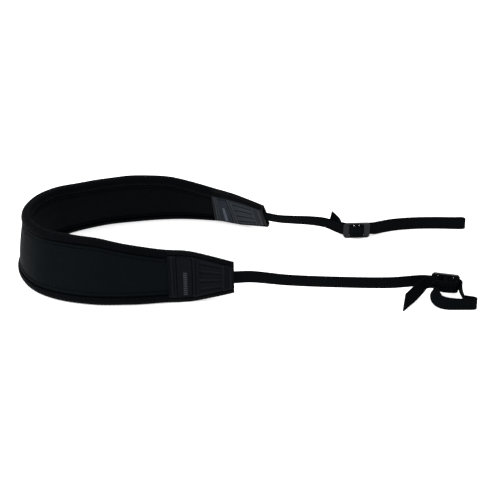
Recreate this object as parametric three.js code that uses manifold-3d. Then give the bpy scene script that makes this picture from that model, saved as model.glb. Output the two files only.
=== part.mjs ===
import * as THREE from 'three';
import { mergeVertices } from 'three/addons/utils/BufferGeometryUtils.js';
import Module from 'manifold-3d';

// ---- Main sizes, millimetres and degrees ----
const PAD_WIDTH = 53;
const TAB_START_WIDTH = 42;
const TAB_TAPER_WIDTH = 39.2;
const TIP_WIDTH = 25;
const CUSHION_THICK = 7;
const CUSHION_TIP_THICK = 2.4;
const BINDING_THICK = 8.8;
const BINDING_TIP_THICK = 5;
const TAB_LENGTH = 51.5;
const GAP = 0.3;
const FLOOR_SINK = 0.5;
const PAD_STEPS = 38;
const TAB_STEPS = 7;
const TIP_FADE = 60;
const CUSHION_SHORT_OF_TIP = 8;

const BINDING_REACH = 6;
const PIPING_REACH = 3.8;
const ROLL_STEPS = 8;
const BINDING_WALL = 1.5;
const RIDGE_WIDTH = 3;
const RIDGE_GROOVE = 0.7;

const WEBBING_WIDTH = 9.5;
const WEBBING_THICK = 1.3;
const NEAR_CUT_SLANT = -2.8;
const FAR_CUT_SLANT = 2.6;
const STEPS_PER_ROW = 3;

const SLIDER_LENGTH = 22;
const SLIDER_HEIGHT = 13.5;
const SLIDER_DEPTH = 2;
const CENTRE_BAR = 3.6;
const SLOT_LENGTH = 4.35;
const SLOT_HEIGHT = 10.3;
const SLIDER_CORNER = 1.6;

const WEBBING_INSIDE = [7, 4, 0.2];

const LABEL_THICK = 0.5;
const LABEL_MARGIN = 1.2;

// The lower hem of the pad from the near end, round the neck bend, to the far end.
// x, y: middle of the hem in plan; lift: its height above the floor where the tab tapers;
// lean: how far the top edge tips towards the wearer; width: top edge to bottom edge.
const HEM = [
  { place: 'near tip', x: -6.8, y: -51, lift: 6.2, lean: 12.5, width: TIP_WIDTH },
  { place: 'near taper', x: -38, y: -52.8, lift: 0, lean: 17, width: TAB_TAPER_WIDTH },
  { place: 'near tab', x: -60, y: -55.2, lift: 0, lean: 19.5, width: TAB_START_WIDTH },
  { place: 'near leg', x: -87, y: -58.4, lift: 0, lean: 21, width: 47 },
  { place: 'near shoulder', x: -114, y: -58.2, lift: 0, lean: 21, width: 52 },
  { place: 'near bend', x: -138.5, y: -52.3, lift: 0, lean: 18, width: PAD_WIDTH },
  { place: 'near turn', x: -159, y: -40, lift: 0, lean: 12, width: PAD_WIDTH },
  { place: 'neck', x: -172.3, y: -19.6, lift: 0, lean: 7.5, width: PAD_WIDTH },
  { place: 'apex', x: -177, y: 4, lift: 0, lean: 7.5, width: PAD_WIDTH },
  { place: 'far turn', x: -172.5, y: 27, lift: 0, lean: 9.5, width: PAD_WIDTH },
  { place: 'far bend', x: -161, y: 47.5, lift: 0, lean: 13.5, width: PAD_WIDTH },
  { place: 'far shoulder', x: -142.5, y: 63, lift: 0, lean: 18, width: PAD_WIDTH },
  { place: 'far side', x: -118, y: 75.5, lift: 0, lean: 20, width: PAD_WIDTH },
  { place: 'far middle', x: -91, y: 82.5, lift: 0, lean: 20, width: 52.7 },
  { place: 'far leg', x: -58, y: 87, lift: 0, lean: 21.5, width: 48.7 },
  { place: 'far tab', x: -24, y: 84, lift: 0, lean: 26, width: 41.3 },
  { place: 'far taper', x: -3, y: 76.5, lift: 0, lean: 27, width: TAB_TAPER_WIDTH },
  { place: 'far tip', x: 21, y: 59.5, lift: 6.2, lean: 23, width: TIP_WIDTH },
];

// A tab's face from its inner edge to its tip. at: distance from the inner edge; thick: face thickness.
const TAB_PROFILE = [
  { part: 'edge', at: 0, thick: 1.1 },
  { part: 'rail start', at: 2.4, thick: 1.1 },
  { part: 'rail', at: 2.7, thick: 1.9 },
  { part: 'rail end', at: 5.9, thick: 1.9 },
  { part: 'window', at: 6.2, thick: 1.1 },
  { part: 'window end', at: 18.9, thick: 1.1 },
  { part: 'ridge', at: 19.2, thick: 2.1 },
  { part: 'ridge end', at: 23.4, thick: 2.1 },
  { part: 'fan', at: 23.8, thick: 1.3 },
  { part: 'fan end', at: 42, thick: 1.3 },
  { part: 'bar', at: 42.4, thick: 2.1 },
  { part: 'bar end', at: 49, thick: 2.1 },
  { part: 'hem', at: 49.3, thick: 1.1 },
  { part: 'tip', at: TAB_LENGTH, thick: 1.1 },
];
const WINDOW_FROM = 6.8;
const WINDOW_TO = 18.4;

// Two layers of webbing through a slider, from its middle to one end.
// along: distance from the middle bar; outer: distance from the slider's middle plane, away from the wearer.
const LOOSE_LANE = [
  { along: 0, outer: -1.98 },
  { along: 1.4, outer: -1.98 },
  { along: 2.65, outer: -1.45 },
  { along: 3, outer: 0 },
  { along: 3.15, outer: 1.3 },
  { along: 3.8, outer: 2.75 },
  { along: 5.1, outer: 3.6 },
  { along: 7.6, outer: 3.75 },
];
const TIGHT_LANE = [
  { along: 0, outer: -3.65 },
  { along: 2.2, outer: -3.6 },
  { along: 4.2, outer: -2.6 },
  { along: 4.95, outer: -1.1 },
  { along: 5.05, outer: 0.2 },
  { along: 5.25, outer: 1.35 },
  { along: 6.3, outer: 2 },
  { along: 8, outer: 2.08 },
  { along: 10.5, outer: 2.05 },
];

// Where each slider sits: its middle, the way it points in plan, and the side that faces out.
const NEAR_SLIDER = { x: 157.5, y: -43, z: 11, turn: -14, outward: -1 };
const FAR_SLIDER = { x: 94.7, y: 51.5, z: 6.75, turn: 3, outward: 1 };

// Free runs of webbing. x, y, z: middle of the webbing;
// lean: how far its top edge tips to the right of its way.
const NEAR_LEAD = [
  { x: 6, y: -46.8, z: 17.4, lean: -5 },
  { x: 35, y: -46.5, z: 14.2, lean: 3 },
  { x: 75, y: -46, z: 12.1, lean: 3 },
  { x: 115, y: -44.2, z: 10.6, lean: 0 },
  { x: 139.4, y: -41.1, z: 10.8, lean: 0 },
];
const NEAR_LOOP_OUT = [
  { x: 168.6, y: -49, z: 10.4, lean: 0 },
  { x: 169.2, y: -52.5, z: 9, lean: 0 },
  { x: 168.8, y: -57, z: 7.2, lean: 0 },
  { x: 170, y: -61, z: 5.8, lean: 0 },
  { x: 173.4, y: -63.4, z: 5, lean: 0 },
  { x: 177, y: -64.2, z: 4.75, lean: 0 },
  { x: 178.8, y: -65.8, z: 4.75, lean: 0 },
  { x: 177, y: -67.4, z: 4.75, lean: 0 },
  { x: 171, y: -67.6, z: 4.75, lean: 0 },
  { x: 163, y: -67.4, z: 4.75, lean: 0 },
  { x: 155, y: -66, z: 4.75, lean: 0 },
  { x: 149.6, y: -63.4, z: 5, lean: 0 },
  { x: 146.6, y: -59, z: 5.8, lean: 0 },
  { x: 145.8, y: -54.4, z: 7.2, lean: 0 },
  { x: 147, y: -50.8, z: 9, lean: 0 },
];
const NEAR_LOOP_BACK = [
  { along: -6, outer: 8.6 },
  { along: 1, outer: 8.7 },
  { along: 6.4, outer: 8.2 },
  { along: 9, outer: 7.5 },
  { along: 10, outer: 5.9 },
  { along: 9.2, outer: 4.5 },
];
const NEAR_TAIL = [
  { x: 142.6, y: -44, z: 10.4, lean: 8 },
  { x: 137.6, y: -48.6, z: 8.6, lean: 30 },
  { x: 130.6, y: -57.4, z: 6.4, lean: 36 },
  { x: 124, y: -64.6, z: 4.7, lean: 34 },
];
const FAR_LEAD = [
  { x: 30, y: 53.2, z: 16.6, lean: 26 },
  { x: 42, y: 54.6, z: 15, lean: 24 },
  { x: 56, y: 57, z: 13, lean: 18 },
  { x: 69, y: 57.8, z: 10.6, lean: 10 },
  { x: 77.5, y: 55.4, z: 8.2, lean: 3 },
];
const FAR_LOOP = [
  { x: 111, y: 55.6, z: 6, lean: 0 },
  { x: 118, y: 60, z: 5.2, lean: 0 },
  { x: 128, y: 64, z: 4.75, lean: 0 },
  { x: 144, y: 66.8, z: 4.75, lean: 0 },
  { x: 162, y: 67.6, z: 4.75, lean: 0 },
  { x: 179, y: 66.8, z: 4.75, lean: 0 },
  { x: 185.4, y: 66.8, z: 4.75, lean: 0 },
  { x: 187.2, y: 68.2, z: 4.75, lean: 0 },
  { x: 185.4, y: 69.8, z: 4.75, lean: 0 },
  { x: 179, y: 69.8, z: 4.75, lean: 0 },
  { x: 162, y: 70.2, z: 4.75, lean: 0 },
  { x: 143, y: 69.4, z: 4.75, lean: 0 },
  { x: 126, y: 66.6, z: 4.75, lean: 0 },
  { x: 115, y: 61.8, z: 5.2, lean: 0 },
  { x: 109, y: 57.8, z: 6, lean: 0 },
];
const FAR_TAIL = [
  { x: 81.4, y: 56.6, z: 7.6, lean: 0 },
  { x: 78.8, y: 59, z: 10.2, lean: 0 },
  { x: 73.4, y: 61, z: 14.8, lean: 0 },
];

const UP = new THREE.Vector3(0, 0, 1);
const radians = THREE.MathUtils.degToRad;

// ---- Meshes ----

// A closed skin over equal rings of points, one ring per station, with both ends capped.
function skin(rings, outline) {
  const count = outline.length;
  const positions = rings.flat().flatMap((point) => [point.x, point.y, point.z]);
  const faces = [];
  for (let ring = 0; ring + 1 < rings.length; ring += 1) {
    for (let side = 0; side < count; side += 1) {
      const here = ring * count + side;
      const beside = ring * count + ((side + 1) % count);
      faces.push([here, beside, here + count], [beside, beside + count, here + count]);
    }
  }
  const corners = outline.map(([across, out]) => new THREE.Vector2(across, out));
  const last = (rings.length - 1) * count;
  THREE.ShapeUtils.triangulateShape(corners, []).forEach((triple) => {
    const turn = THREE.ShapeUtils.area(triple.map((index) => corners[index]));
    const [a, b, c] = turn * THREE.ShapeUtils.area(corners) > 0 ? triple : [...triple].reverse();
    faces.push([a, c, b], [last + a, last + b, last + c]);
  });
  const facesOut = signedVolume(positions, faces) > 0 ? faces : faces.map((face) => [...face].reverse());
  const geometry = new THREE.BufferGeometry();
  geometry.setAttribute('position', new THREE.Float32BufferAttribute(positions, 3));
  geometry.setIndex(facesOut.flat());
  geometry.computeVertexNormals();
  return geometry;
}

function signedVolume(positions, faces) {
  const corner = (index) => new THREE.Vector3().fromArray(positions, index * 3);
  return faces.reduce((sum, [a, b, c]) => sum + corner(a).dot(corner(b).cross(corner(c))), 0);
}

// ---- The pad's own frame ----

const hemCurve = new THREE.CatmullRomCurve3(
  HEM.map((row) => new THREE.Vector3(row.x, row.y, row.lift)), false, 'catmullrom', 0.5);
const poseCurve = new THREE.CatmullRomCurve3(
  HEM.map((row) => new THREE.Vector3(row.lean, row.width, 0)), false, 'catmullrom', 0.5);
const HEM_SAMPLES = 800;
const hemLengths = hemCurve.getLengths(HEM_SAMPLES);
const padLength = hemLengths[HEM_SAMPLES];

function fractionAt(distance) {
  const wanted = THREE.MathUtils.clamp(distance, 0, padLength);
  let index = hemLengths.findIndex((length) => length >= wanted);
  index = Math.max(index, 1);
  const before = hemLengths[index - 1];
  const share = (wanted - before) / (hemLengths[index] - before);
  return (index - 1 + share) / HEM_SAMPLES;
}

// How far a place lies into the thinner end of a tab, from 0 in the pad to 1 at the tip.
function tipShare(distance) {
  const fromTip = Math.min(distance, padLength - distance);
  return THREE.MathUtils.clamp(1 - fromTip / TIP_FADE, 0, 1);
}

function inTab(distance) {
  return Math.min(distance, padLength - distance) < TAB_LENGTH;
}

function padFrame(distance) {
  const fraction = fractionAt(distance);
  const hem = hemCurve.getPoint(fraction);
  const pose = poseCurve.getPoint(fraction);
  const way = hemCurve.getTangent(fraction);
  const out = new THREE.Vector3(-way.y, way.x, 0).normalize();
  const lean = radians(pose.x);
  const share = tipShare(distance);
  const roll = THREE.MathUtils.lerp(BINDING_THICK, BINDING_TIP_THICK, share) / 2;
  return {
    hem: hem.setZ(hem.z + roll - FLOOR_SINK),
    rise: UP.clone().multiplyScalar(Math.cos(lean)).addScaledVector(out, -Math.sin(lean)),
    face: out.clone().multiplyScalar(Math.cos(lean)).addScaledVector(UP, Math.sin(lean)),
    half: pose.y / 2,
    roll,
    mouth: pose.y / 2 - Math.max(inTab(distance) ? PIPING_REACH : BINDING_REACH, roll + 0.2),
    lean: pose.x,
    cushion: THREE.MathUtils.lerp(CUSHION_THICK, CUSHION_TIP_THICK, share) / 2,
    groove: RIDGE_GROOVE * (1 - share) + 0.05,
    way,
  };
}

// across: distance up the pad's width from its middle; out: distance off its mid plane.
function padPoint(frame, across, out) {
  const point = frame.hem.clone()
    .addScaledVector(frame.rise, across + frame.half - frame.roll)
    .addScaledVector(frame.face, out);
  point.z = Math.max(point.z, 0);
  return point;
}

// A skin along the pad, with a cross-section worked out at each distance from the near tip.
function padSkin(distances, outlineOf) {
  const rings = distances.map((distance) => {
    const frame = padFrame(distance);
    return outlineOf(frame, distance).map(([across, out]) => padPoint(frame, across, out));
  });
  return skin(rings, outlineOf(padFrame(distances[0]), distances[0]));
}

function evenly(from, to, steps) {
  return Array.from({ length: steps + 1 }, (_, index) => THREE.MathUtils.lerp(from, to, index / steps));
}

// The cushion: smooth middle, a narrow ridge by each edge, and a thin edge inside the binding.
function cushionOutline(frame) {
  const edge = frame.half - BINDING_WALL - GAP - 1;
  const inside = frame.roll - BINDING_WALL - GAP - 0.2;
  const lip = frame.mouth - 0.5;
  const ridge = lip - RIDGE_WIDTH;
  const panel = ridge - 1;
  const core = Math.min(inside, frame.cushion - 0.2);
  const front = [
    [-edge, core], [-lip - 0.4, core], [-lip, frame.cushion], [-ridge, frame.cushion],
    [-panel, frame.cushion - frame.groove], [-panel + 2, frame.cushion],
    [panel - 2, frame.cushion], [panel, frame.cushion - frame.groove],
    [ridge, frame.cushion], [lip, frame.cushion], [lip + 0.4, core], [edge, core],
  ];
  const back = front.map(([across, out]) => [across, -out]).reverse();
  return [...front, ...back];
}

// A rolled binding: a half round outside and a channel inside that takes the cushion's edge.
function bindingOutline(frame, side) {
  const centre = frame.half - frame.roll;
  const arc = [];
  for (let step = 0; step <= ROLL_STEPS; step += 1) {
    const angle = Math.PI / 2 - (Math.PI * step) / ROLL_STEPS;
    arc.push([centre + frame.roll * Math.cos(angle), frame.roll * Math.sin(angle)]);
  }
  const hollow = frame.roll - BINDING_WALL;
  const floor = frame.half - BINDING_WALL - 0.6;
  const points = [
    [frame.mouth, frame.roll - 0.1], ...arc, [frame.mouth, -frame.roll + 0.1],
    [frame.mouth, -hollow], [floor, -hollow], [floor, hollow], [frame.mouth, hollow],
  ];
  return points.map(([across, out]) => [across * side, out]);
}

// ---- The tabs ----

function tabDistance(end, at) {
  return end === 'near' ? TAB_LENGTH - at : padLength - TAB_LENGTH + at;
}

function tabThick(at) {
  const after = TAB_PROFILE.findIndex((row) => row.at >= at);
  return TAB_PROFILE[Math.max(after, 0)].thick;
}

function tabFace(end, side) {
  const stops = TAB_PROFILE.flatMap((row) => (row.part === 'window end' || row.part === 'fan end'
    ? [row.at - 9, row.at] : [row.at]));
  const distances = stops.map((at) => tabDistance(end, at)).sort((a, b) => a - b);
  return padSkin(distances, (frame, distance) => {
    const at = end === 'near' ? TAB_LENGTH - distance : distance - padLength + TAB_LENGTH;
    const inner = frame.cushion + GAP;
    const outer = inner + tabThick(at - 0.001);
    const half = frame.mouth - GAP;
    const outline = [
      [-half, inner], [half, inner], [half, outer - 0.3], [half - 0.5, outer],
      [-half + 0.5, outer], [-half, outer - 0.3],
    ];
    return outline.map(([across, out]) => [across, out * side]);
  });
}

function label(end, side) {
  const distances = [WINDOW_FROM, (WINDOW_FROM + WINDOW_TO) / 2, WINDOW_TO]
    .map((at) => tabDistance(end, at)).sort((a, b) => a - b);
  return padSkin(distances, (frame) => {
    const inner = frame.cushion + GAP + 1.1 + GAP;
    const outer = inner + LABEL_THICK;
    const half = frame.mouth - GAP - LABEL_MARGIN;
    const outline = [[-half, inner], [half, inner], [half, outer], [-half, outer]];
    return outline.map(([across, out]) => [across, out * side]);
  });
}

// ---- Webbing ----

// The sewn-in start of the webbing, held in the middle of the tab.
function tabExit(end) {
  return WEBBING_INSIDE.map((fromTip) => {
    const frame = padFrame(end === 'near' ? fromTip : padLength - fromTip);
    const middle = padPoint(frame, 0, 0);
    return { x: middle.x, y: middle.y, z: middle.z, lean: end === 'near' ? -frame.lean : frame.lean };
  });
}

function sliderPoint(slider, along, outer) {
  const turn = radians(slider.turn);
  const way = new THREE.Vector3(Math.cos(turn), Math.sin(turn), 0);
  const out = new THREE.Vector3(-Math.sin(turn), Math.cos(turn), 0).multiplyScalar(slider.outward);
  return new THREE.Vector3(slider.x, slider.y, slider.z)
    .addScaledVector(way, along).addScaledVector(out, outer);
}

// A lane from one end of the slider to the other; direction 1 runs away from the tab.
function laneRows(slider, lane, direction) {
  const left = lane.slice(1).map((row) => ({ along: -row.along, outer: row.outer })).reverse();
  const whole = [...left, ...lane];
  const ordered = direction > 0 ? whole : [...whole].reverse();
  return ordered.map((row) => placed(slider, row));
}

function placed(slider, row) {
  const point = sliderPoint(slider, row.along, row.outer);
  return { x: point.x, y: point.y, z: point.z, lean: 0 };
}

function webbing(rows, cutSlant) {
  const curve = new THREE.CatmullRomCurve3(
    rows.map((row) => new THREE.Vector3(row.x, row.y, row.z)), false, 'centripetal');
  const steps = (rows.length - 1) * STEPS_PER_ROW;
  const half = WEBBING_WIDTH / 2;
  const thin = WEBBING_THICK / 2;
  const outline = [[-half, -thin], [half, -thin], [half, thin], [-half, thin]];
  const rings = [];
  for (let step = 0; step <= steps; step += 1) {
    const fraction = step / steps;
    const row = Math.min(Math.floor(step / STEPS_PER_ROW), rows.length - 2);
    const share = step / STEPS_PER_ROW - row;
    const lean = radians(THREE.MathUtils.lerp(rows[row].lean, rows[row + 1].lean, share));
    const way = curve.getTangent(fraction);
    const left = new THREE.Vector3(-way.y, way.x, 0).normalize();
    const tall = UP.clone().multiplyScalar(Math.cos(lean)).addScaledVector(left, -Math.sin(lean));
    tall.addScaledVector(way, -tall.dot(way)).normalize();
    const flat = new THREE.Vector3().crossVectors(tall, way).normalize();
    const middle = curve.getPoint(fraction);
    rings.push(outline.map(([across, out]) => {
      const slant = step === steps ? cutSlant * (across / half) : 0;
      return middle.clone().addScaledVector(tall, across).addScaledVector(flat, out)
        .addScaledVector(way, slant);
    }));
  }
  rings.forEach((ring) => ring.forEach((point) => { point.z = Math.max(point.z, 0); }));
  return skin(rings, outline);
}

// ---- Sliders ----

const wasm = await Module();
wasm.setup();

function toSolid(source) {
  const bare = source.clone();
  bare.deleteAttribute('normal');
  bare.deleteAttribute('uv');
  const merged = mergeVertices(bare);
  return new wasm.Manifold(new wasm.Mesh({
    numProp: 3,
    vertProperties: new Float32Array(merged.attributes.position.array),
    triVerts: new Uint32Array(merged.index.array),
  }));
}

function fromSolid(solid) {
  const mesh = solid.getMesh();
  const geometry = new THREE.BufferGeometry();
  geometry.setAttribute('position', new THREE.Float32BufferAttribute(mesh.vertProperties, 3));
  geometry.setIndex(Array.from(mesh.triVerts));
  geometry.computeVertexNormals();
  return geometry;
}

function sliderGeometry(slider) {
  const length = SLIDER_LENGTH / 2;
  const height = SLIDER_HEIGHT / 2;
  const shape = new THREE.Shape([
    [-length + SLIDER_CORNER, -height], [length - SLIDER_CORNER, -height],
    [length, -height + SLIDER_CORNER], [length, height - SLIDER_CORNER],
    [length - SLIDER_CORNER, height], [-length + SLIDER_CORNER, height],
    [-length, height - SLIDER_CORNER], [-length, -height + SLIDER_CORNER],
  ].map(([x, y]) => new THREE.Vector2(x, y)));
  const plate = new THREE.ExtrudeGeometry(shape, { depth: SLIDER_DEPTH, bevelEnabled: false });
  plate.translate(0, 0, -SLIDER_DEPTH / 2);
  const body = [-1, 1].reduce((solid, side) => {
    const slot = new THREE.BoxGeometry(SLOT_LENGTH, SLOT_HEIGHT, SLIDER_DEPTH * 2);
    slot.translate(side * (CENTRE_BAR + SLOT_LENGTH) / 2, 0, 0);
    return solid.subtract(toSolid(slot));
  }, toSolid(plate));
  const geometry = fromSolid(body);
  geometry.rotateX(Math.PI / 2);
  geometry.rotateZ(radians(slider.turn));
  geometry.translate(slider.x, slider.y, slider.z);
  return geometry;
}

// ---- Assembly ----

const COLOURS = {
  cushion: 0x1b1e26,
  binding: 0x0e0f13,
  tab: 0x17181d,
  label: 0x2a2d38,
  webbing: 0x101116,
  slider: 0x24262c,
};

const strap = new THREE.Group();
strap.name = 'neck_strap';

function add(name, geometry, colour, roughness) {
  const material = new THREE.MeshStandardMaterial({ color: colour, roughness });
  const mesh = new THREE.Mesh(geometry, material);
  mesh.name = name;
  strap.add(mesh);
}

const padStops = evenly(TAB_LENGTH + GAP / 2, padLength - TAB_LENGTH - GAP / 2, PAD_STEPS);
const nearStops = (from) => evenly(from, TAB_LENGTH - GAP / 2, TAB_STEPS);
const farStops = (to) => evenly(padLength - TAB_LENGTH + GAP / 2, padLength - to, TAB_STEPS);

add('cushion', padSkin(
  [...nearStops(CUSHION_SHORT_OF_TIP), ...padStops, ...farStops(CUSHION_SHORT_OF_TIP)],
  cushionOutline), COLOURS.cushion, 0.85);
[['upper', 1], ['lower', -1]].forEach(([edge, side]) => {
  const outline = (frame) => bindingOutline(frame, side);
  add(`binding_${edge}`, padSkin(padStops, outline), COLOURS.binding, 0.9);
  add(`near_tab_piping_${edge}`, padSkin(nearStops(0), outline), COLOURS.tab, 0.6);
  add(`far_tab_piping_${edge}`, padSkin(farStops(0), outline), COLOURS.tab, 0.6);
});

add('near_tab_outer', tabFace('near', 1), COLOURS.tab, 0.6);
add('near_tab_inner', tabFace('near', -1), COLOURS.tab, 0.6);
add('far_tab_outer', tabFace('far', 1), COLOURS.tab, 0.6);
add('far_tab_inner', tabFace('far', -1), COLOURS.tab, 0.6);
add('near_label', label('near', 1), COLOURS.label, 0.7);
add('far_label', label('far', -1), COLOURS.label, 0.7);

add('near_webbing', webbing([
  ...tabExit('near'),
  ...NEAR_LEAD,
  ...laneRows(NEAR_SLIDER, TIGHT_LANE, 1),
  ...NEAR_LOOP_OUT,
  ...NEAR_LOOP_BACK.map((row) => placed(NEAR_SLIDER, row)),
  ...laneRows(NEAR_SLIDER, LOOSE_LANE, -1),
  ...NEAR_TAIL,
], NEAR_CUT_SLANT), COLOURS.webbing, 0.8);
add('far_webbing', webbing([
  ...tabExit('far'),
  ...FAR_LEAD,
  ...laneRows(FAR_SLIDER, TIGHT_LANE, 1),
  ...FAR_LOOP,
  ...laneRows(FAR_SLIDER, LOOSE_LANE, -1),
  ...FAR_TAIL,
], FAR_CUT_SLANT), COLOURS.webbing, 0.8);
add('near_slider', sliderGeometry(NEAR_SLIDER), COLOURS.slider, 0.35);
add('far_slider', sliderGeometry(FAR_SLIDER), COLOURS.slider, 0.35);

// The origin is the middle of the strap's footprint, on the surface it stands on.
const bounds = new THREE.Box3().setFromObject(strap);
const footprint = bounds.getCenter(new THREE.Vector3());
strap.position.set(-footprint.x, -footprint.y, -bounds.min.z);

export default strap;
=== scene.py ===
# %% [markdown]
# # A padded camera neck strap
# The strap stands on its long lower edge, bent into a U as it would lie round a neck. It is a foam
# cushion with knitted tape bound round its edges, two end tabs of grained imitation leather, and a
# run of narrow webbing at each end that passes twice through a plastic adjuster.
# The hard adjusters come from the measured model. Every soft piece is made again here in finer form.

# %% Opening the measured model
import math
import bpy
import bmesh
import numpy as np
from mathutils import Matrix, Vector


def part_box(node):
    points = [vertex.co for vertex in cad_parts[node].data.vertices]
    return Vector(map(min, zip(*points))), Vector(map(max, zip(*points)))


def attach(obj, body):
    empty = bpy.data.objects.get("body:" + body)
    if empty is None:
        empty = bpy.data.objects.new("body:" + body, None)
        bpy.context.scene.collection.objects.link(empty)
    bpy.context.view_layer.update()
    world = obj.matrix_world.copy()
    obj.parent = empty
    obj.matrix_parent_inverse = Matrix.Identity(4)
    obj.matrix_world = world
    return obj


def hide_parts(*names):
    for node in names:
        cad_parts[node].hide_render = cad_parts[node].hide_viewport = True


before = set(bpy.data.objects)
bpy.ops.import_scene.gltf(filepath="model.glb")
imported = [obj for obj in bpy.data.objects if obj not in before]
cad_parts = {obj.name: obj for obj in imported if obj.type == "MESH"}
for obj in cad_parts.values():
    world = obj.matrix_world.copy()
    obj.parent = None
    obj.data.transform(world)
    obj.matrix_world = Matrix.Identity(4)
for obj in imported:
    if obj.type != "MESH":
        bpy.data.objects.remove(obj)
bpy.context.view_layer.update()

MM = 0.001
bpy.ops.object.select_all(action="DESELECT")
DRAWN_CORNER = np.array([83.7, 49.9, 0.0])
drawing_shift = np.array(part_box("far_slider")[0]) / MM - DRAWN_CORNER
print("the drawing is moved by (mm)", drawing_shift.round(2))


def place(point):
    """A point of the drawing, in millimetres, as metres in the model's frame."""
    return (np.asarray(point, float) + drawing_shift) * MM


# %% [markdown]
# ## Camera
# The strap is seen from the front, a little above, with a long lens so that near and far legs keep
# almost the same size.

# %% Camera
CAMERA_AWAY = 1200.0
CAMERA_RISE = math.radians(28)
LOOK_AT = np.array([0.0, 0.0, 22.0])
LENS_FOR_SCALE = 111.1
bpy.ops.object.camera_add(
    location=place(LOOK_AT + CAMERA_AWAY * np.array([0, -math.cos(CAMERA_RISE), math.sin(CAMERA_RISE)])),
    rotation=(math.pi / 2 - CAMERA_RISE, 0, 0))
camera = bpy.context.object
camera.name = "camera"
camera.data.lens = LENS_FOR_SCALE
camera.data.sensor_width = 36
bpy.context.scene.camera = camera
bpy.context.scene.view_settings.view_transform = "Standard"
print("camera at", [round(value, 3) for value in camera.location])

# %% [markdown]
# ## The line of the strap
# The pad follows one smooth line along its lower hem. Each row gives the hem's place in plan, how
# far the tapering tab lifts off the surface, how far the top edge leans in, and the pad's width.

# %% The hem table, in millimetres and degrees
HEM_COLUMNS = ("x", "y", "lift", "lean", "width")
HEM = np.array([
    (-6.8, -51, 6.2, 12.5, 25),
    (-38, -52.8, 0, 17, 39.2),
    (-60, -55.2, 0, 19.5, 42),
    (-87, -58.4, 0, 21, 47),
    (-114, -58.2, 0, 21, 52),
    (-138.5, -52.3, 0, 18, 53),
    (-159, -40, 0, 12, 53),
    (-172.3, -19.6, 0, 7.5, 53),
    (-177, 4, 0, 7.5, 53),
    (-172.5, 27, 0, 9.5, 53),
    (-161, 47.5, 0, 13.5, 53),
    (-142.5, 63, 0, 18, 53),
    (-118, 75.5, 0, 20, 53),
    (-91, 82.5, 0, 20, 52.7),
    (-58, 87, 0, 21.5, 48.7),
    (-24, 84, 0, 26, 41.3),
    (-3, 76.5, 0, 27, 39.2),
    (21, 59.5, 6.2, 23, 25),
])
CUSHION = (7.0, 2.4)
ROLL = (8.8, 5.0)
TAB = 51.5
FADE = 60.0
SINK = 0.5
BOUND = 6.0
PIPED = 3.8
WALL = 1.5
GAP = 0.3


def smooth_rows(rows, samples):
    """Rows joined by a smooth curve through each of them, with evenly shared steps."""
    rows = np.asarray(rows, float)
    padded = np.vstack([2 * rows[0] - rows[1], rows, 2 * rows[-1] - rows[-2]])
    where = np.linspace(0, len(rows) - 1, samples)
    first = np.minimum(where.astype(int), len(rows) - 2)
    part = (where - first)[:, None]
    before, start, end, after = (padded[first + step] for step in range(4))
    return 0.5 * (2 * start + (end - before) * part
                  + (2 * before - 5 * start + 4 * end - after) * part ** 2
                  + (3 * start - before - 3 * end + after) * part ** 3)


line = smooth_rows(HEM, 2401)
step_lengths = np.linalg.norm(np.diff(line[:, :3], axis=0), axis=1)
line_lengths = np.concatenate([[0], np.cumsum(step_lengths)])
PAD_LENGTH = line_lengths[-1]
print("pad and tabs are", round(PAD_LENGTH, 1), "mm long along the hem")


def mix(pair, share):
    return pair[0] + (pair[1] - pair[0]) * share


class Station:
    """One cross-section of the pad: its hem, its two directions and its sizes."""

    def __init__(self, distance):
        read = lambda values: float(np.interp(distance, line_lengths, values))
        x, y, lift, lean, self.width = (read(line[:, column]) for column in range(5))
        ahead = [float(np.interp(distance + 0.5, line_lengths, line[:, column]))
                 - float(np.interp(distance - 0.5, line_lengths, line[:, column])) for column in (0, 1)]
        out = np.array([-ahead[1], ahead[0], 0]) / math.hypot(*ahead)
        up = np.array([0, 0, 1.0])
        self.lean = lean
        tilt = math.radians(lean)
        self.rise = up * math.cos(tilt) - out * math.sin(tilt)
        self.face = out * math.cos(tilt) + up * math.sin(tilt)
        from_tip = min(distance, PAD_LENGTH - distance)
        share = min(max(1 - from_tip / FADE, 0), 1)
        self.distance = distance
        self.in_tab = from_tip < TAB
        self.share = share
        self.half = self.width / 2
        self.roll = mix(ROLL, share) / 2
        self.cushion = mix(CUSHION, share) / 2
        self.mouth = self.half - max(PIPED if self.in_tab else BOUND, self.roll + 0.2)
        self.hem = np.array([x, y, lift + self.roll - SINK])

    def point(self, across, out):
        spot = self.hem + self.rise * (across + self.half - self.roll) + self.face * out
        spot[2] = max(spot[2], 0.0)
        return spot


# %% [markdown]
# ## Joining cross-sections
# Cloth and foam strips are made the way a lofted pattern is: a ring of points per station, skinned
# with faces, closed at both ends. Each piece gets a map in millimetres, along the strip and round
# it, so that knits and weaves follow the cloth.

# %% Joining cross-sections


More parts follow.
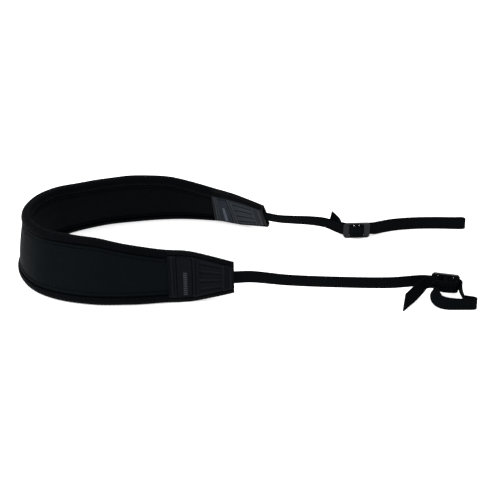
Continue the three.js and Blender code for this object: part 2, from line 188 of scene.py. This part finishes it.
def loft(name, rings, alongs):
    rings = np.asarray(rings, float)
    stations, count = rings.shape[:2]
    middle = rings[stations // 2]
    around = np.concatenate([[0], np.cumsum(np.linalg.norm(np.roll(middle, -1, 0) - middle, axis=1))])
    shape = bmesh.new()
    cloth = shape.loops.layers.uv.new("cloth")
    spots = [[shape.verts.new(place(point)) for point in ring] for ring in rings]
    for station in range(stations - 1):
        for side in range(count):
            beside = (side + 1) % count
            face = shape.faces.new((spots[station][side], spots[station][beside],
                                    spots[station + 1][beside], spots[station + 1][side]))
            face.smooth = True
            marks = ((station, side), (station, side + 1), (station + 1, side + 1), (station + 1, side))
            for loop, (row, turn) in zip(face.loops, marks):
                loop[cloth].uv = (alongs[row], around[turn])
    for ring, row in ((spots[0], 0), (spots[-1], -1)):
        cap = shape.faces.new(ring if row else ring[::-1])
        for loop in cap.loops:
            loop[cloth].uv = (alongs[row], 0)
    bmesh.ops.recalc_face_normals(shape, faces=shape.faces)
    bmesh.ops.triangulate(shape, faces=[face for face in shape.faces if len(face.verts) > 4])
    data = bpy.data.meshes.new(name)
    shape.to_mesh(data)
    shape.free()
    piece = bpy.data.objects.new(name, data)
    bpy.context.scene.collection.objects.link(piece)
    return piece


def pad_loft(name, distances, outline):
    stations = [Station(distance) for distance in distances]
    rings = [[station.point(*spot) for spot in outline(station)] for station in stations]
    return loft(name, rings, distances)


def spaced(start, end, pitch):
    return np.linspace(start, end, max(int(abs(end - start) / pitch), 2) + 1)


def finish_piece(piece, material, stands_for):
    piece.data.materials.append(material)
    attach(piece, "root")
    if stands_for:
        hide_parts(*stands_for)
    print(piece.name, len(piece.data.vertices), "points")
    return piece


# %% [markdown]
# ## Finishes
# Every finish is mixed from a few patterns. Sums are written as plain expressions: the small class
# below turns them into the matching nodes.

# %% A small kit for finishes


class Value:
    """One number in a finish, which can be added, multiplied and compared like any other."""

    def __init__(self, finish, socket):
        self.finish, self.socket = finish, socket

    def join(self, operation, *others):
        return self.finish.node("ShaderNodeMath", {"operation": operation}, self, *others)

    def __add__(self, other): return self.join("ADD", other)
    def __radd__(self, other): return self.join("ADD", other)
    def __mul__(self, other): return self.join("MULTIPLY", other)
    def __rmul__(self, other): return self.join("MULTIPLY", other)
    def __sub__(self, other): return self.join("SUBTRACT", other)
    def __rsub__(self, other): return self.finish.node("ShaderNodeMath", {"operation": "SUBTRACT"}, other, self)
    def __truediv__(self, other): return self.join("DIVIDE", other)
    def __lt__(self, other): return self.join("LESS_THAN", other)
    def __gt__(self, other): return self.join("GREATER_THAN", other)
    def wave(self): return self.join("SINE")
    def size(self): return self.join("ABSOLUTE")
    def left_over(self, step): return self.join("FLOORED_MODULO", step)
    def power(self, other): return self.join("POWER", other)
    def clipped(self): return self.finish.node("ShaderNodeClamp", {}, self)
    def most(self, other): return self.join("MAXIMUM", other)
    def least(self, other): return self.join("MINIMUM", other)


class Finish:
    """A named material with one surface shader, built up from nodes."""

    def __init__(self, name, **constants):
        self.material = bpy.data.materials.new(name)
        self.material.use_nodes = True
        self.tree = self.material.node_tree
        self.surface = self.tree.nodes["Principled BSDF"]
        for socket, value in constants.items():
            self.surface.inputs[socket.replace("_", " ")].default_value = value

    def node(self, kind, settings, *inputs, out=0, **named):
        made = self.tree.nodes.new(kind)
        for setting, value in settings.items():
            setattr(made, setting, value)
        for key, value in [*enumerate(inputs), *((key.replace("_", " "), value) for key, value in named.items())]:
            self.feed(made.inputs[key], value)
        return Value(self, made.outputs[out])

    def feed(self, socket, value):
        if isinstance(value, Value):
            self.tree.links.new(value.socket, socket)
        else:
            socket.default_value = value

    def spot(self):
        return self.node("ShaderNodeTexCoord", {}, out="Object")

    def cloth(self):
        """(along, around) in millimetres on the piece's own cloth map."""
        made = self.node("ShaderNodeUVMap", {"uv_map": "cloth"})
        return [self.node("ShaderNodeSeparateXYZ", {}, made, out=axis) for axis in (0, 1)]

    def noise(self, scale, detail=3.0, rough=0.55):
        return self.node("ShaderNodeTexNoise", {}, self.spot(), Scale=scale, Detail=detail, Roughness=rough)

    def cells(self, scale):
        return self.node("ShaderNodeTexVoronoi", {"feature": "F1"}, self.spot(), Scale=scale)

    def mix_colour(self, share, dark, light):
        made = self.tree.nodes.new("ShaderNodeMix")
        made.data_type = "RGBA"
        self.feed(made.inputs[0], share)
        self.feed(made.inputs[6], dark if isinstance(dark, Value) else (*dark, 1))
        self.feed(made.inputs[7], light if isinstance(light, Value) else (*light, 1))
        return Value(self, made.outputs[2])

    def bump(self, height, distance, strength=1.0):
        made = self.node("ShaderNodeBump", {}, Strength=strength, Distance=distance, Height=height)
        self.feed(self.surface.inputs["Normal"], made)

    def paint(self, colour, roughness):
        self.feed(self.surface.inputs["Base Color"], colour)
        self.feed(self.surface.inputs["Roughness"], roughness)


TURN = 2 * math.pi

# %% [markdown]
# ### Smooth jersey over foam
# The cushion's faces are foam laminated with fine jersey. The stitches are barely visible, in
# columns about half a millimetre apart, with slow soft waves where the foam gives. The lining on the
# wearer's side is a blacker shade of the same cloth.

# %% Jersey finish
jersey = Finish("foam_jersey", Specular_IOR_Level=0.014)
along, around = jersey.cloth()
column = (around * (TURN / 0.9)).wave()
course = (along * (TURN / 0.7) + column * 0.8).wave()
lumps = jersey.noise(55.0, 2.0)
fuzz = jersey.noise(2600.0, 4.0)
lining = jersey.node("ShaderNodeAttribute", {"attribute_name": "lining"}, out=2)
outside = jersey.mix_colour(lumps * 0.6 + fuzz * 0.4, (0.002, 0.0029, 0.0037), (0.0038, 0.0052, 0.0064))
jersey.paint(jersey.mix_colour(lining, outside, (0.0004, 0.0008, 0.0016)), 0.5 + fuzz * 0.16 + lumps * 0.06)
jersey.bump(column * 0.25 + course * 0.25 + fuzz * 0.6 + lumps * 5.0, 0.00016, 0.7)

# %% [markdown]
# ### Knitted binding
# The edge tape is a coarser ribbed knit, rolled over the cushion and sewn down. Its ribs run round
# the roll and it pinches a little at each stitch.

# %% Binding finish
knit = Finish("binding_knit", Specular_IOR_Level=0.025)
along, around = knit.cloth()
rib = (along * (TURN / 1.15) + (around * (TURN / 2.3)).wave() * 1.2).wave()
pinch = (along * (TURN / 3.1)).wave()
fuzz = knit.noise(2100.0, 4.0)
patch = knit.noise(90.0, 2.0)
knit.paint(knit.mix_colour(fuzz * 0.5 + patch * 0.5, (0.0007, 0.0009, 0.0015), (0.0019, 0.0025, 0.0036)),
           0.62 + fuzz * 0.2)
knit.bump(rib * 0.8 + pinch * 0.4 + fuzz * 0.8 + patch * 2.0, 0.00018, 0.9)

# %% [markdown]
# ### Grained imitation leather
# The tabs are embossed with a pebble grain about a millimetre across, with finer creases between
# and a satin top coat that is rubbed a little shinier in patches.

# %% Tab finish


def leather(name, hollow, crest_highlight_and_wear, shine):
    made = Finish(name, Specular_IOR_Level=shine, Coat_Roughness=0.35)
    pebbles = made.cells(1150.0)
    fine = made.cells(3200.0)
    rubbed = made.noise(70.0, 3.0)
    speck = made.noise(1500.0, 3.0)
    crest_highlight_and_wear_mask = made.node("ShaderNodeAttribute", {"attribute_name": "crest_highlight_and_wear_mask"}, out=2)
    dark = made.mix_colour(pebbles * 0.5 + speck * 0.5, hollow, tuple(part * 0.5 for part in hollow))
    # The marked ribs, step edges and rims take the paler crest colour: painted highlight, with some rubbed wear.
    made.paint(made.mix_colour((crest_highlight_and_wear_mask * (0.7 + speck * 0.5)).clipped(), dark, crest_highlight_and_wear),
               0.54 - rubbed * 0.16 + speck * 0.08)
    made.feed(made.surface.inputs["Coat Weight"], rubbed * 0.04)
    made.bump(pebbles * -1.0 + fine * -0.4 + speck * 0.3 + rubbed * 1.2, 0.00014, 0.8)
    return made


near_grain = leather("near_tab_grain", (0.0022, 0.0028, 0.0042), (0.0062, 0.0078, 0.0112), 0.03)
# The far tab is the same leather as the near one, painted several times lighter as painted light on the side that faces
# the lamps.
far_grain_painted_light = leather("far_tab_grain_painted_light", (0.009, 0.0108, 0.013), (0.036, 0.045, 0.056), 0.04)
edge_grain = leather("edge_grain", (0.0017, 0.002, 0.0027), (0.006, 0.007, 0.009), 0.02)

# %% [markdown]
# ### Ribbed webbing
# The webbing is a flat weave: close ribs across it, a few warp columns along it, and slightly
# furry edges.

# %% Webbing finish
weave = Finish("ribbed_webbing", Specular_IOR_Level=0.01)
along, around = weave.cloth()
warp = (around * (TURN / 1.3)).wave()
ribs = (along * (TURN / 1.5) + warp * 0.7).wave()
fuzz = weave.noise(2400.0, 4.0)
wear = weave.noise(120.0, 2.0)
weave.paint(weave.mix_colour((ribs * 0.5 + 0.5) * 0.55 + fuzz * 0.45, (0.0005, 0.0008, 0.0011), (0.0042, 0.0056, 0.0068)),
            0.58 + fuzz * 0.2 - wear * 0.08)
weave.bump(ribs * 0.9 + warp * 0.45 + fuzz * 0.4, 0.00022, 0.9)

# %% [markdown]
# ### Woven label, thread and moulded plastic
# The label is a satin weave, paler than the tab, with a plain column of woven bars and no words.
# The thread is twisted. The adjusters are moulded plastic, fine grained, with shinier patches in their coat.


# %% Label, thread and plastic finishes
def label_finish(name, ground, mark, bars):
    made = Finish(name, Specular_IOR_Level=0.025)
    along, around = made.cloth()
    satin = ((along + around) * (TURN / 0.5)).wave()
    weft = (around * (TURN / 0.42)).wave()
    fuzz = made.noise(2300.0, 3.0)
    first, last, low, high, pitch, share = bars
    column = (along > first) * (along < last)
    rows = (around.left_over(pitch) < pitch * share) * (around > low) * (around < high)
    marked = (column * rows).clipped()
    base = made.mix_colour(fuzz * 0.6 + satin * 0.15 + 0.1, tuple(part * 0.6 for part in ground), ground)
    made.paint(made.mix_colour(marked * (0.75 + fuzz * 0.25), base, mark), 0.45 + fuzz * 0.15)
    made.bump(satin * 0.4 + weft * 0.5 + marked * 1.2 + fuzz * 0.3, 0.00012, 0.8)
    return made


thread = Finish("twisted_thread", Specular_IOR_Level=0.05)
lay = (thread.node("ShaderNodeSeparateXYZ", {}, thread.spot(), out=0) * (TURN / 0.0005)).wave()
fuzz = thread.noise(3000.0, 3.0)
thread.paint(thread.mix_colour(fuzz * 0.7 + lay * 0.15 + 0.15, (0.0016, 0.0018, 0.0024), (0.0075, 0.0085, 0.0105)),
             0.5 + fuzz * 0.2)
thread.bump(lay + fuzz * 0.5, 0.0001, 0.6)

plastic = Finish("moulded_plastic", Specular_IOR_Level=0.14, Coat_Roughness=0.2)
spark = plastic.noise(1900.0, 4.0)
flow = plastic.noise(140.0, 2.0)
plastic.paint(plastic.mix_colour(spark * 0.5 + flow * 0.5, (0.002, 0.0025, 0.0033), (0.0052, 0.006, 0.0076)),
              0.3 + spark * 0.12 + flow * 0.06)
plastic.feed(plastic.surface.inputs["Coat Weight"], flow * 0.15)
plastic.bump(spark + flow * 0.6, 0.00006, 0.6)

# %% [markdown]
# ## The cushion
# One long foam strip, crowned in the middle. A narrow ridge runs by each edge, between two grooves
# where the jersey is sewn down, so that the middle panel stands by itself.

# %% The cushion
RIDGE = 3.2


def cushion_outline(station):
    core = min(station.roll - WALL - GAP - 0.2, station.cushion - 0.25)
    lip = station.mouth - 0.45
    dip = (0.2 + 0.95 * (1 - station.share))
    inner = lip - RIDGE
    edge = station.half - WALL - GAP - 1
    swell = 0.35 * (1 - station.share)
    soft = 0.14 * math.sin(station.distance / 9.0) + 0.1 * math.sin(station.distance / 4.3 + 1.0)
    side = [(edge, core), (lip + 0.45, core)]
    for share in (0.0, 0.12, 0.3, 0.5, 0.7, 0.88, 1.0):
        bulge = math.sin(math.pi * share) ** 0.6
        side.append((lip - RIDGE * share, station.cushion - dip * (1 - bulge) + 0.12 * bulge))
    for step in (0.5, 1.2, 2.2, 3.6):
        rise = 1 - math.exp(-step / 0.9)
        side.append((inner - step, station.cushion - dip * (1 - rise)))
    for share in (0.75, 0.55, 0.35, 0.15):
        crown = swell * (1 - share ** 2) + soft * (1 - station.share) * (1 - share)
        side.append(((inner - 4.6) * share, station.cushion + crown))
    front = side + [(-across, out) for across, out in side[::-1]]
    return front + [(across, -out) for across, out in front[::-1]]


cushion = pad_loft("foam_cushion", spaced(8, PAD_LENGTH - 8, 1.6), cushion_outline)
ring_size = len(cushion_outline(Station(PAD_LENGTH / 2)))
inner_side = [0.8 if index % ring_size >= ring_size // 2 else 0.0 for index in range(len(cushion.data.vertices))]
cushion.data.attributes.new("lining", "FLOAT", "POINT").data.foreach_set("value", inner_side)
finish_piece(cushion, jersey.material, ["cushion"])

# %% [markdown]
# ## Bindings and tab piping
# Knitted tape is rolled over each edge of the cushion and stops at the tabs. From there the tab's
# own material goes on over the edge, with a fine groove where it is topstitched.

# %% Bindings and piping


def roll_outline(side, groove):
    def outline(station):
        centre = station.half - station.roll
        hollow = station.roll - WALL
        floor = station.half - WALL - 0.6
        wobble = 0.05 * math.sin(station.distance * 2.03) + 0.07 * math.sin(station.distance / 5.1)
        arc = []
        for angle in np.linspace(math.pi / 2, -math.pi / 2, 19):
            away = abs(abs(angle) - math.radians(62))
            reach = station.roll - groove * math.exp(-(away / 0.13) ** 2) - 0.05 + wobble * math.cos(angle)
            arc.append((centre + reach * math.cos(angle), reach * math.sin(angle)))
        tuck = station.roll - 0.55
        points = [(station.mouth, tuck), (station.mouth + 0.25, station.roll - 0.2), *arc,
                  (station.mouth + 0.25, -station.roll + 0.2), (station.mouth, -tuck),
                  (station.mouth, -hollow), (floor, -hollow), (floor, hollow), (station.mouth, hollow)]
        return [(across * side, out) for across, out in points]
    return outline


for edge, side in (("upper", 1), ("lower", -1)):
    tape = pad_loft(f"knitted_binding_{edge}", spaced(TAB + 0.02, PAD_LENGTH - TAB - 0.02, 1.2), roll_outline(side, 0.0))
    finish_piece(tape, knit.material, [f"binding_{edge}"])
    for end, start, stop in (("near", 0, TAB - 0.02), ("far", PAD_LENGTH - TAB + 0.02, PAD_LENGTH)):
        piping = pad_loft(f"{end}_piping_{edge}", spaced(start, stop, 0.9), roll_outline(side, 0.35))
        finish_piece(piping, edge_grain.material, [f"{end}_tab_piping_{edge}"])

# %% [markdown]
# ## Tab faces
# Each tab is pressed into steps: a thin edge, a rail, a window for the label, a rounded ridge, four
# folds that draw in towards the webbing, a raised bar, and a sewn hem at the tip.

# %% Tab faces
RAIL = (2.4, 6.1)
WINDOW = (6.4, 18.8)
RIDGE_BAND = (19.0, 23.6)
FAN = (24.0, 42.2)
END_BAR = (42.5, 49.1)
FOLDS = (-0.72, -0.25, 0.25, 0.72)


def bump_between(value, start, end, edge=0.45):
    rise = 1 / (1 + math.exp(-(value - start) / edge * 2.2))
    fall = 1 / (1 + math.exp(-(end - value) / edge * 2.2))
    return rise * fall


def tab_height(at, share):
    """Thickness of a tab face at a distance from its inner edge and a share of its half width."""
    thick = 1.15
    thick += 0.8 * bump_between(at, *RAIL)
    thick += 0.95 * bump_between(at, *RIDGE_BAND)
    thick += 0.95 * bump_between(at, *END_BAR)
    in_fan = bump_between(at, *FAN)
    fold = min(abs(share - place_of) for place_of in FOLDS)
    thick += in_fan * (0.55 - 0.75 * math.exp(-(fold / 0.075) ** 2))
    seam = math.exp(-((at - 49.9) / 0.35) ** 2) * 0.25
    return thick - seam


def tab_outline(end, side):
    def outline(station):
        at = TAB - station.distance if end == "near" else station.distance - PAD_LENGTH + TAB
        inner = station.cushion + GAP
        half = station.mouth - GAP
        top = []
        for share in np.linspace(-1, 1, 41):
            edge = 1 - min(1, (1 - abs(share)) * half / 0.9)
            top.append((share * half, inner + max(tab_height(at, share) - 0.75 * edge ** 2, 0.4)))
        return [(across, out * side) for across, out in [(half, inner), (-half, inner), *top]]
    return outline


def paint_crest_highlight_and_wear(piece, end, distances):
    """Marks the tab's ribs, step edges and side rims for a paler colour: painted highlight, with some rubbed wear."""
    crest_highlight_and_wear = []
    for distance in distances:
        at = TAB - distance if end == "near" else distance - PAD_LENGTH + TAB
        crest_highlight_and_wear += [0.0, 0.0]
        for share in np.linspace(-1, 1, 41):
            # Ribs beside the folds, the edges of the steps and the side rims are painted paler as painted highlight,
            # with some rubbed wear.
            fold = min(abs(abs(share - place_of) - 0.14) for place_of in FOLDS)
            ribs = bump_between(at, *FAN, edge=1.5) * math.exp(-(fold / 0.05) ** 2) * 0.8
            bands = [math.exp(-((at - line_at) / 0.5) ** 2) for line_at in (3.0, 5.6, 19.6, 23.0, 42.9, 48.7)]
            rim_highlight = math.exp(-((1 - abs(share)) / 0.06) ** 2) * 0.7
            crest_highlight_and_wear.append(min(1.0, max(ribs, max(bands) * 0.9, rim_highlight)))
    crest_highlight_and_wear_mask = piece.data.attributes.new("crest_highlight_and_wear_mask", "FLOAT", "POINT")
    crest_highlight_and_wear_mask.data.foreach_set("value", crest_highlight_and_wear)


tab_pieces = {}
for end, start, stop in (("near", 0, TAB), ("far", PAD_LENGTH - TAB, PAD_LENGTH)):
    for face, side in (("outer", 1), ("inner", -1)):
        inset = 0.02
        piece = pad_loft(f"{end}_tab_face_{face}", spaced(start + inset, stop - inset, 0.4), tab_outline(end, side))
        paint_crest_highlight_and_wear(piece, end, spaced(start + inset, stop - inset, 0.4))
        finish = near_grain if end == "near" else far_grain_painted_light
        tab_pieces[end, face] = finish_piece(piece, finish.material, [f"{end}_tab_{face}"])

# %% [markdown]
# ## Labels
# A small woven label sits in the window of the tab that shows on each leg. It is bare of words: a
# column of plain woven bars stands in their place.


# %% Labels
def label_outline(side):
    def outline(station):
        inner = station.cushion + GAP + 1.1 + GAP
        half = station.mouth - GAP - 1.2
        top = [(share * half, inner + 0.5 - 0.18 * abs(share) ** 12) for share in np.linspace(-1, 1, 25)]
        return [(across, out * side) for across, out in [(half, inner), (-half, inner), *top]]
    return outline


near_label = pad_loft("near_woven_label", spaced(TAB - 18.4, TAB - 6.8, 0.8), label_outline(1))
far_label = pad_loft("far_woven_label", spaced(PAD_LENGTH - TAB + 6.8, PAD_LENGTH - TAB + 18.4, 0.8), label_outline(-1))
near_bars = (TAB - 14.6, TAB - 11.6, 31.5, 49.5, 1.5, 0.55)
far_from = PAD_LENGTH - TAB
far_bars = (far_from + 10.5, far_from + 13.5, 31.5, 49.5, 1.5, 0.5)
finish_piece(near_label, label_finish("near_label_weave", (0.0055, 0.0066, 0.0095), (0.05, 0.054, 0.066), near_bars).material,
             ["near_label"])
# The far label is the same weave as the near one, painted three to four times lighter as painted light on the side that
# faces the lamps.
finish_piece(far_label, label_finish("far_label_weave_painted_light", (0.022, 0.028, 0.038), (0.15, 0.17, 0.21), far_bars).material,
             ["far_label"])

# %% [markdown]
# ## Stitching
# Lock stitches hold the binding down beside each ridge, and run round each tab. Each stitch is a
# short plump lozenge of thread whose two ends dive into the cloth.

# %% Stitching
STITCH_SHAPE = ((-1, 0.4), (-0.82, 0.8), (-0.4, 1), (0, 1), (0.4, 1), (0.82, 0.8), (1, 0.4))


def sew(name, stitches, thickness):
    shape = bmesh.new()
    for start, end, normal in stitches:
        start, end, normal = (np.asarray(value, float) for value in (start, end, normal))
        run = (end - start) / 2
        side = np.cross(normal, run)
        side /= np.linalg.norm(side)
        rings = []
        for where, plump in STITCH_SHAPE:
            centre = (start + end) / 2 + run * where + normal * thickness * (0.35 - 1.1 * where ** 4)
            ring = []
            for turn in range(6):
                angle = TURN * turn / 6
                offset = side * math.cos(angle) + normal * math.sin(angle) * 0.8
                ring.append(shape.verts.new(place(centre + offset * thickness * plump)))
            rings.append(ring)
        for ring, following in zip(rings, rings[1:]):
            for turn in range(6):
                beside = (turn + 1) % 6
                shape.faces.new((ring[turn], ring[beside], following[beside], following[turn])).smooth = True
        shape.faces.new(rings[0][::-1])
        shape.faces.new(rings[-1])
    bmesh.ops.recalc_face_normals(shape, faces=shape.faces)
    data = bpy.data.meshes.new(name)
    shape.to_mesh(data)
    shape.free()
    piece = bpy.data.objects.new(name, data)
    bpy.context.scene.collection.objects.link(piece)
    print(len(stitches), "stitches in", name)
    return finish_piece(piece, thread.material, None)


def cushion_surface(station, across):
    front = cushion_outline(station)
    front = sorted(front[:len(front) // 2])
    return float(np.interp(across, [spot[0] for spot in front], [spot[1] for spot in front]))


edge_stitches = []
for start in np.arange(TAB + 2, PAD_LENGTH - TAB - 3, 3.1):
    first, last = Station(start), Station(start + 2.3)
    for side in (-1, 1):
        for face in (-1, 1):
            ends = []
            for station in (first, last):
                across = station.mouth - 0.45 - RIDGE - 0.8
                out = cushion_surface(station, across) + 0.02
                ends.append(station.point(across * side, out * face))
            edge_stitches.append((*ends, first.face * face))
sew("edge_stitching", edge_stitches, 0.2)


def tab_spot(end, face, at, share):
    station = Station(TAB - at if end == "near" else PAD_LENGTH - TAB + at)
    out = station.cushion + GAP + tab_height(at, share)
    return station.point(share * (station.mouth - GAP), out * face), station.face * face


tab_stitches = []
for end in ("near", "far"):
    for face in (1, -1):
        for at in (1.15, 49.95):
            for start in np.arange(-0.93, 0.9, 0.115 if at < 2 else 0.19):
                stop = start + (0.085 if at < 2 else 0.15)
                (first, normal), (last, _) = tab_spot(end, face, at, start), tab_spot(end, face, at, stop)
                tab_stitches.append((first, last, normal))
        for share in (-0.945, 0.945):
            for at in np.arange(2.6, 41, 2.7):
                (first, normal), (last, _) = (tab_spot(end, face, where, share) for where in (at, at + 2))
                tab_stitches.append((first, last, normal))
sew("tab_stitching", tab_stitches, 0.17)

# %% [markdown]
# ## Webbing
# Each end's webbing leaves its tab, goes through the adjuster, makes a flat loop that would hold a
# camera, comes back through the adjuster and ends in a short cut tail. It is a flat strap with
# rounded selvedges, so it is modelled straight along its line rather than draped.

# %% The runs of webbing
WEB_HALF = 4.95
WEB_THIN = 0.8
INSIDE_TAB = (7, 4, 0.2)
LOOSE_LANE = [(0, -1.98), (1.4, -1.98), (2.65, -1.45), (3.15, 0), (3.25, 1.3), (3.85, 2.75), (5.1, 3.6), (7.6, 3.75)]
TIGHT_LANE = [(0, -3.65), (2.2, -3.6), (4.2, -2.6), (5.05, -1.1), (5.2, 0.2), (5.32, 1.35), (6.3, 2), (8, 2.08),
              (10.5, 2.05)]
NEAR_ADJUSTER = (157.5, -43, 11, -14, -1)
FAR_ADJUSTER = (94.7, 51.5, 6.75, 3, 1)
NEAR_LEAD = [(6, -46.8, 17.4, -5), (35, -46.5, 14.2, 3), (75, -46, 12.1, 3), (115, -44.2, 10.6, 0),
             (139.4, -41.1, 10.8, 0)]
NEAR_LOOP = [(168.6, -49, 10.4, 0), (169.2, -52.5, 9, 12), (168.8, -57, 7.2, 28), (170, -61, 5.8, 20),
             (173.4, -63.4, 5, 0), (177, -64.2, 4.75, 0), (178.8, -65.8, 4.75, 0), (177, -67.4, 4.75, 0),
             (171, -67.6, 4.75, 0), (163, -67.4, 4.75, 4), (155.5, -66, 4.75, 18), (151, -63.2, 5, 36),
             (148.8, -59, 5.8, 45), (148, -54.4, 7.2, 34), (148, -50.8, 9, 10)]
NEAR_BACK = [(-6, 8.6), (1, 8.7), (6.4, 8.2), (9, 7.5), (10, 5.9), (9.2, 4.5)]
NEAR_TAIL = [(142.6, -44, 10.4, 8), (137.6, -48.6, 8.6, 30), (130.6, -57.4, 6.4, 36), (124, -64.6, 4.7, 34)]
FAR_LEAD = [(30, 53.2, 16.6, 26), (42, 54.6, 15, 24), (56, 57, 13, 18), (69, 57.8, 10.6, 10),
            (77.5, 55.4, 8.2, 3)]
FAR_LOOP = [(111, 55.6, 6), (118, 60, 5.2), (128, 64, 4.75), (144, 66.8, 4.75), (162, 67.6, 4.75),
            (179, 66.8, 4.75), (185.4, 66.8, 4.75), (187.2, 68.2, 4.75), (185.4, 69.8, 4.75),
            (179, 69.8, 4.75), (162, 70.2, 4.75), (143, 69.4, 4.75), (126, 66.6, 4.75), (115, 61.8, 5.2),
            (109, 57.8, 6)]
FAR_TAIL = [(81.4, 56.6, 7.6), (78.8, 59, 10.2), (73.4, 61, 14.8)]


def level(points):
    return [(*point, 0.0) for point in points]


def at_adjuster(adjuster, spots):
    x, y, z, turn, outward = adjuster
    angle = math.radians(turn)
    way = np.array([math.cos(angle), math.sin(angle), 0])
    out = np.array([-math.sin(angle), math.cos(angle), 0]) * outward
    return level([np.array([x, y, z]) + way * along + out * off for along, off in spots])


def through(adjuster, lane, direction):
    whole = [(-along, off) for along, off in lane[:0:-1]] + lane
    return at_adjuster(adjuster, whole[::direction])


def sewn_in(end):
    rows = []
    for from_tip in INSIDE_TAB:
        station = Station(from_tip if end == "near" else PAD_LENGTH - from_tip)
        rows.append((*station.point(0, 0), station.lean * (-1 if end == "near" else 1)))
    return rows


def flowing(rows):
    """Points, directions and leans along a smooth line through the rows, a millimetre or so apart."""
    rows = np.asarray(rows, float)
    points = np.vstack([2 * rows[0, :3] - rows[1, :3], rows[:, :3], 2 * rows[-1, :3] - rows[-2, :3]])
    spots, ways, leans = [], [], []
    for index in range(len(rows) - 1):
        before, start, end, after = points[index:index + 4]
        gap0, gap1, gap2 = (math.sqrt(np.linalg.norm(b - a)) for a, b in ((before, start), (start, end), (end, after)))
        leave = ((start - before) / gap0 - (end - before) / (gap0 + gap1) + (end - start) / gap1) * gap1
        arrive = ((end - start) / gap1 - (after - start) / (gap1 + gap2) + (after - end) / gap2) * gap1
        square = -3 * start + 3 * end - 2 * leave - arrive
        cube = 2 * start - 2 * end + leave + arrive
        steps = max(4, int(np.linalg.norm(end - start) / 1.1))
        for step in range(steps + (index == len(rows) - 2)):
            part = step / steps
            spots.append(start + leave * part + square * part ** 2 + cube * part ** 3)
            way = leave + 2 * square * part + 3 * cube * part ** 2
            ways.append(way / np.linalg.norm(way))
            leans.append(rows[index, 3] + (rows[index + 1, 3] - rows[index, 3]) * part)
    return np.array(spots), ways, leans


SELVEDGE = ((1, 0), (0.985, 0.45), (0.93, 0.85), (0.8, 0.98), (0.4, 1))
quarter = [(WEB_HALF * across, WEB_THIN * out) for across, out in SELVEDGE]
upper = quarter + [(0, WEB_THIN)] + [(-across, out) for across, out in quarter[::-1]]
WEB_RING = upper + [(across, -out) for across, out in upper[-2:0:-1]]


def webbing(name, rows, slant, node):
    spots, ways, leans = flowing(rows)
    lengths = np.concatenate([[0], np.cumsum(np.linalg.norm(np.diff(spots, axis=0), axis=1))])
    rings = []
    for spot, way, lean, length in zip(spots, ways, leans, lengths):
        left = np.array([-way[1], way[0], 0]) / math.hypot(way[0], way[1])
        tilt = math.radians(lean)
        tall = np.array([0, 0, math.cos(tilt)]) - left * math.sin(tilt)
        tall -= way * tall.dot(way)
        tall /= np.linalg.norm(tall)
        flat = np.cross(tall, way)
        cut = slant * max(0, 1 - (lengths[-1] - length) / 9)
        ring = [spot + tall * across + flat * out + way * cut * across / WEB_HALF for across, out in WEB_RING]
        rings.append([(x, y, max(z, 0)) for x, y, z in ring])
    piece = loft(name, rings, lengths)
    finish_piece(piece, weave.material, [node])
    print(name, "is", round(lengths[-1]), "mm long")


webbing("near_web", sewn_in("near") + NEAR_LEAD + through(NEAR_ADJUSTER, TIGHT_LANE, 1) + NEAR_LOOP
        + at_adjuster(NEAR_ADJUSTER, NEAR_BACK) + through(NEAR_ADJUSTER, LOOSE_LANE, -1) + NEAR_TAIL,
        -6.0, "near_webbing")
webbing("far_web", sewn_in("far") + FAR_LEAD + through(FAR_ADJUSTER, TIGHT_LANE, 1) + level(FAR_LOOP)
        + through(FAR_ADJUSTER, LOOSE_LANE, -1) + level(FAR_TAIL), 2.6, "far_webbing")

# %% [markdown]
# ## Adjusters
# Each adjuster is one moulded plate with two slots. The measured plates are kept, and only their
# sharp edges are rounded, as the mould would leave them.

# %% Adjusters
for name in ("near_slider", "far_slider"):
    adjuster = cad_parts[name]
    joined = adjuster.modifiers.new("join corners", "WELD")
    joined.merge_threshold = 0.00002
    rounded = adjuster.modifiers.new("rounded edges", "BEVEL")
    rounded.width = 0.00045
    rounded.segments = 3
    rounded.limit_method = "ANGLE"
    rounded.angle_limit = math.radians(25)
    rounded.harden_normals = False
    adjuster.data.materials.clear()
    adjuster.data.materials.append(plastic.material)
    print(name, "edges rounded to", round(rounded.width / MM, 2), "mm")

# %% [markdown]
# ## Floor and light
# A plain white table under soft studio lights: a big one overhead and to the front left, a smaller one
# on the left, and a weaker one behind that draws a fine bright line along the top edges.

# %% Floor and light
bpy.ops.mesh.primitive_plane_add(size=60, location=(0, 0, 0))
floor = bpy.context.object
floor.name = "floor"
table_top = Finish("white_table", Specular_IOR_Level=0.1, Emission_Color=(1, 1, 1, 1), Emission_Strength=0.6)
table_top.paint(table_top.mix_colour(table_top.noise(3.0, 2.0), (0.93, 0.93, 0.93), (0.95, 0.95, 0.95)), 0.9)
floor.data.materials.append(table_top.material)

world = bpy.data.worlds.new("studio")
bpy.context.scene.world = world
world.use_nodes = True
world.node_tree.nodes["Background"].inputs["Color"].default_value = (1, 1, 1, 1)
world.node_tree.nodes["Background"].inputs["Strength"].default_value = 0.45
LIGHTS = (
    ("soft_overhead", (-0.35, -0.35, 1.1), 0.7, 9.0),
    ("soft_left", (-1.1, 0.15, 0.7), 0.5, 9.0),
    ("soft_back", (0.2, 1.2, 0.8), 0.8, 6.0),
)
for name, spot, size, power in LIGHTS:
    bpy.ops.object.light_add(type="AREA", location=spot)
    lamp = bpy.context.object
    lamp.name = name
    lamp.data.size = size
    lamp.data.energy = power
    toward = -np.array(spot) / np.linalg.norm(spot)
    lamp.rotation_euler = (math.acos(-toward[2]), 0, math.atan2(-toward[0], toward[1]))
